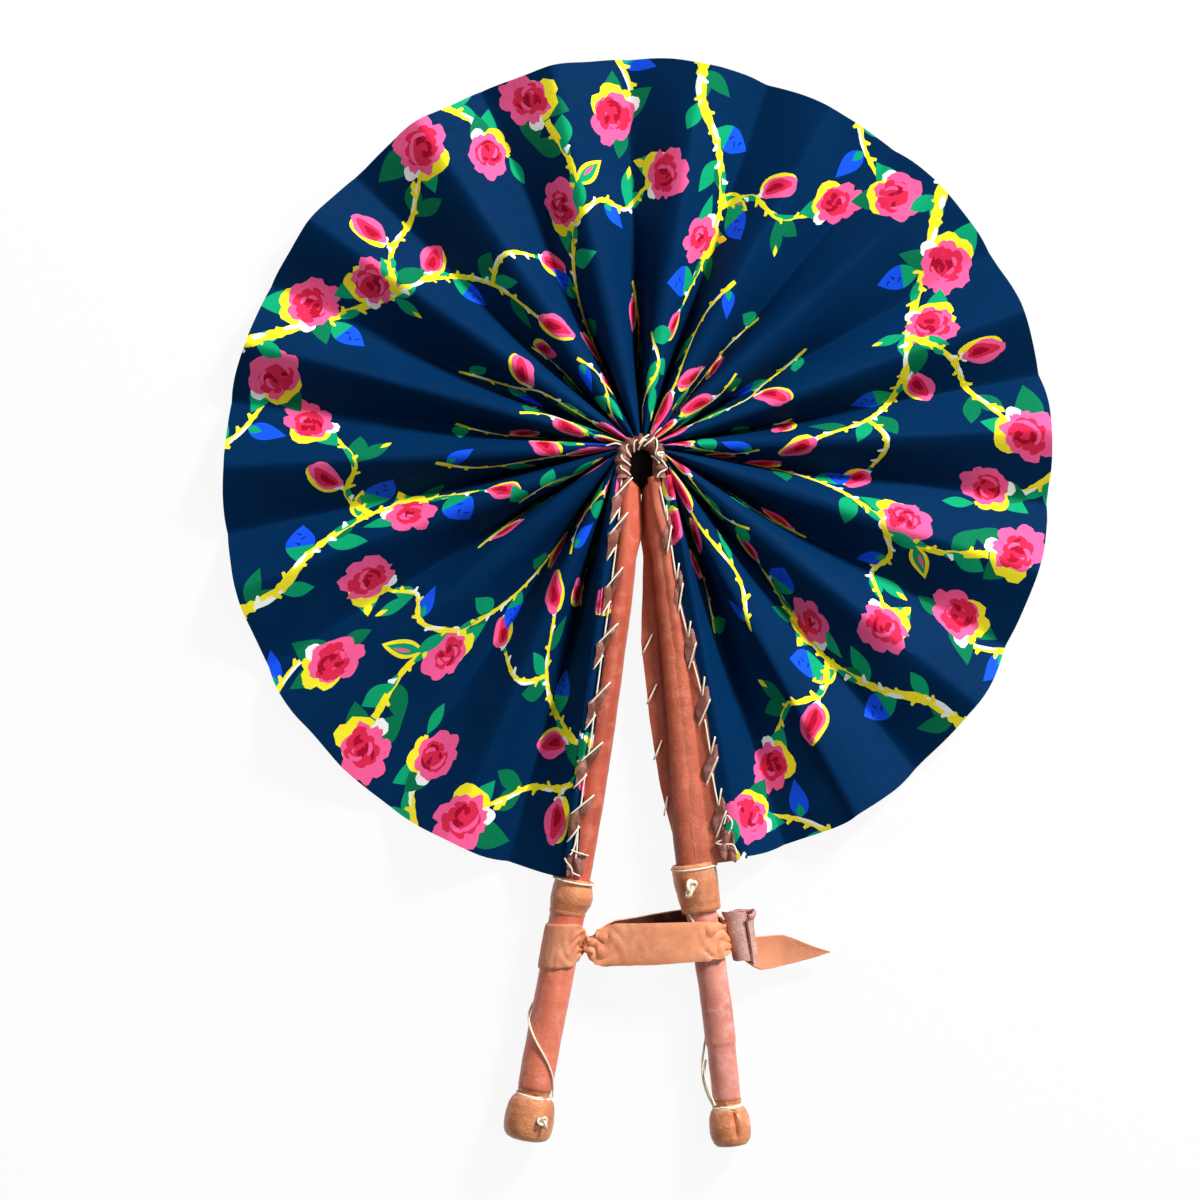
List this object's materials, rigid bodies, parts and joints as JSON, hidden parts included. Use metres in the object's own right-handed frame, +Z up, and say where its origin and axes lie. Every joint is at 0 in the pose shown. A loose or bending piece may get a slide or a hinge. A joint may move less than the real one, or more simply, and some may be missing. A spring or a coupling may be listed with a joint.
{
  "type": "folding hand fan",
  "caption": "Round folding fan: a printed cloth leaf pleated round a leather hub, leather-covered guards and grips with tied end caps, and a strap that holds it open.",
  "frame": {"origin": "middle of the fan's outline, on the table that the open fan lies on", "axes": "+X to the right and +Y towards the top of the leaf, as seen with the fan face up and its grips towards the viewer; +Z up from the table"},
  "size_m": [0.3274, 0.4346, 0.0235],
  "materials": {
    "printed_cloth": "matt cotton with a floral print",
    "tan_leather": "smooth, with a soft gloss",
    "red_leather": "smooth, with a soft gloss",
    "brown_leather": "dull",
    "pale_leather": "dull",
    "flesh_leather": "rough flesh side",
    "thread": "dull",
    "stick_wood": "bare"
  },
  "bodies": {
    "hub": {"hub_arch": "brown_leather", "hub_lining": "brown_leather", "hub_knot": "thread"},
    "left_guard": {"left_cover": "red_leather", "left_binding": "brown_leather", "left_sleeve": "tan_leather", "left_sleeve_tie": "thread", "left_grip": "red_leather", "left_stick": "stick_wood", "left_cap": "tan_leather", "left_cap_tie": "thread", "left_cap_knot": "thread", "leaf_end_left": "printed_cloth"},
    "right_guard": {"right_cover": "red_leather", "right_binding": "brown_leather", "right_sleeve": "tan_leather", "right_sleeve_tie": "thread", "right_sleeve_knot": "thread", "right_grip": "red_leather", "right_stick": "stick_wood", "right_cap": "tan_leather", "right_cap_tie": "thread", "leaf_end_right": "printed_cloth"},
    "strap": {"strap_eye": "pale_leather", "strap_loop": "pale_leather", "strap_keeper": "flesh_leather", "strap_tail": "pale_leather"},
    "pleat_body_01": {"pleat_01": "printed_cloth"},
    "pleat_body_02": {"pleat_02": "printed_cloth"},
    "pleat_body_03": {"pleat_03": "printed_cloth"},
    "pleat_body_04": {"pleat_04": "printed_cloth"},
    "pleat_body_05": {"pleat_05": "printed_cloth"},
    "pleat_body_06": {"pleat_06": "printed_cloth"},
    "pleat_body_07": {"pleat_07": "printed_cloth"},
    "pleat_body_08": {"pleat_08": "printed_cloth"},
    "pleat_body_09": {"pleat_09": "printed_cloth"},
    "pleat_body_10": {"pleat_10": "printed_cloth"},
    "pleat_body_11": {"pleat_11": "printed_cloth"},
    "pleat_body_12": {"pleat_12": "printed_cloth"},
    "pleat_body_13": {"pleat_13": "printed_cloth"},
    "pleat_body_14": {"pleat_14": "printed_cloth"},
    "pleat_body_15": {"pleat_15": "printed_cloth"},
    "pleat_body_16": {"pleat_16": "printed_cloth"}
  },
  "joints": [
    {"name": "left_fold", "type": "hinge", "parent": "hub", "child": "left_guard", "pos_m": [-0.00963, 0.05215, 0.01], "axis": [0, 0, 1], "range_deg": [-171.5, 0], "deforming": ["pleat_01", "pleat_02", "pleat_03", "pleat_04", "pleat_05", "pleat_06", "pleat_07", "pleat_08", "pleat_09", "pleat_10", "pleat_11", "pleat_12", "pleat_13", "pleat_14", "pleat_15", "pleat_16", "leaf_end_left", "leaf_end_right", "right_binding", "strap_loop", "strap_keeper", "strap_tail"]},
    {"name": "right_fold", "type": "hinge", "parent": "hub", "child": "right_guard", "pos_m": [0.01317, 0.05215, 0.01], "axis": [0, 0, 1], "range_deg": [0, 174]},
    {"name": "pleat_01_fold", "type": "hinge", "parent": "hub", "child": "pleat_body_01", "pos_m": [-0.00769, 0.05823, 0.01], "axis": [0, 0, 1], "range_deg": [-155, 0]},
    {"name": "pleat_02_fold", "type": "hinge", "parent": "hub", "child": "pleat_body_02", "pos_m": [-0.00648, 0.06032, 0.01], "axis": [0, 0, 1], "range_deg": [-128.5, 0]},
    {"name": "pleat_03_fold", "type": "hinge", "parent": "hub", "child": "pleat_body_03", "pos_m": [-0.00527, 0.06158, 0.01], "axis": [0, 0, 1], "range_deg": [-109, 0]},
    {"name": "pleat_04_fold", "type": "hinge", "parent": "hub", "child": "pleat_body_04", "pos_m": [-0.00406, 0.0624, 0.01], "axis": [0, 0, 1], "range_deg": [-92, 0]},
    {"name": "pleat_05_fold", "type": "hinge", "parent": "hub", "child": "pleat_body_05", "pos_m": [-0.00281, 0.063, 0.01], "axis": [0, 0, 1], "range_deg": [-74.5, 0]},
    {"name": "pleat_06_fold", "type": "hinge", "parent": "hub", "child": "pleat_body_06", "pos_m": [-0.00154, 0.06347, 0.01], "axis": [0, 0, 1], "range_deg": [-54.5, 0]},
    {"name": "pleat_07_fold", "type": "hinge", "parent": "hub", "child": "pleat_body_07", "pos_m": [-0.00023, 0.06388, 0.01], "axis": [0, 0, 1], "range_deg": [-33.5, 0]},
    {"name": "pleat_08_fold", "type": "hinge", "parent": "hub", "child": "pleat_body_08", "pos_m": [0.00107, 0.0642, 0.01], "axis": [0, 0, 1], "range_deg": [-12.5, 0]},
    {"name": "pleat_09_fold", "type": "hinge", "parent": "hub", "child": "pleat_body_09", "pos_m": [0.00177, 0.05675, 0.01], "axis": [0, 0, 1], "range_deg": [0, 10]},
    {"name": "pleat_10_fold", "type": "hinge", "parent": "hub", "child": "pleat_body_10", "pos_m": [0.00366, 0.06367, 0.01], "axis": [0, 0, 1], "range_deg": [0, 29.5]},
    {"name": "pleat_11_fold", "type": "hinge", "parent": "hub", "child": "pleat_body_11", "pos_m": [0.00494, 0.06351, 0.01], "axis": [0, 0, 1], "range_deg": [0, 49]},
    {"name": "pleat_12_fold", "type": "hinge", "parent": "hub", "child": "pleat_body_12", "pos_m": [0.00624, 0.06291, 0.01], "axis": [0, 0, 1], "range_deg": [0, 71]},
    {"name": "pleat_13_fold", "type": "hinge", "parent": "hub", "child": "pleat_body_13", "pos_m": [0.00748, 0.06237, 0.01], "axis": [0, 0, 1], "range_deg": [0, 88]},
    {"name": "pleat_14_fold", "type": "hinge", "parent": "hub", "child": "pleat_body_14", "pos_m": [0.00873, 0.06141, 0.01], "axis": [0, 0, 1], "range_deg": [0, 108.5]},
    {"name": "pleat_15_fold", "type": "hinge", "parent": "hub", "child": "pleat_body_15", "pos_m": [0.00995, 0.06012, 0.01], "axis": [0, 0, 1], "range_deg": [0, 129]},
    {"name": "pleat_16_fold", "type": "hinge", "parent": "hub", "child": "pleat_body_16", "pos_m": [0.01111, 0.05833, 0.01], "axis": [0, 0, 1], "range_deg": [0, 150.5]},
    {"name": "strap_slide", "type": "slide", "parent": "left_guard", "child": "strap", "axis": [0.1739, 0.9848, 0], "range_m": [-0.002, 0.0015]}
  ],
  "couplings": [
    {"joint": "right_fold", "follows": "left_fold", "ratio": -1.0128},
    {"joint": "pleat_01_fold", "follows": "left_fold", "ratio": 0.90347},
    {"joint": "pleat_02_fold", "follows": "left_fold", "ratio": 0.74842},
    {"joint": "pleat_03_fold", "follows": "left_fold", "ratio": 0.63424},
    {"joint": "pleat_04_fold", "follows": "left_fold", "ratio": 0.53462},
    {"joint": "pleat_05_fold", "follows": "left_fold", "ratio": 0.43152},
    {"joint": "pleat_06_fold", "follows": "left_fold", "ratio": 0.31711},
    {"joint": "pleat_07_fold", "follows": "left_fold", "ratio": 0.19347},
    {"joint": "pleat_08_fold", "follows": "left_fold", "ratio": 0.07229},
    {"joint": "pleat_09_fold", "follows": "left_fold", "ratio": -0.05654},
    {"joint": "pleat_10_fold", "follows": "left_fold", "ratio": -0.17177},
    {"joint": "pleat_11_fold", "follows": "left_fold", "ratio": -0.28348},
    {"joint": "pleat_12_fold", "follows": "left_fold", "ratio": -0.41164},
    {"joint": "pleat_13_fold", "follows": "left_fold", "ratio": -0.51269},
    {"joint": "pleat_14_fold", "follows": "left_fold", "ratio": -0.63036},
    {"joint": "pleat_15_fold", "follows": "left_fold", "ratio": -0.75067},
    {"joint": "pleat_16_fold", "follows": "left_fold", "ratio": -0.87546}
  ]
}
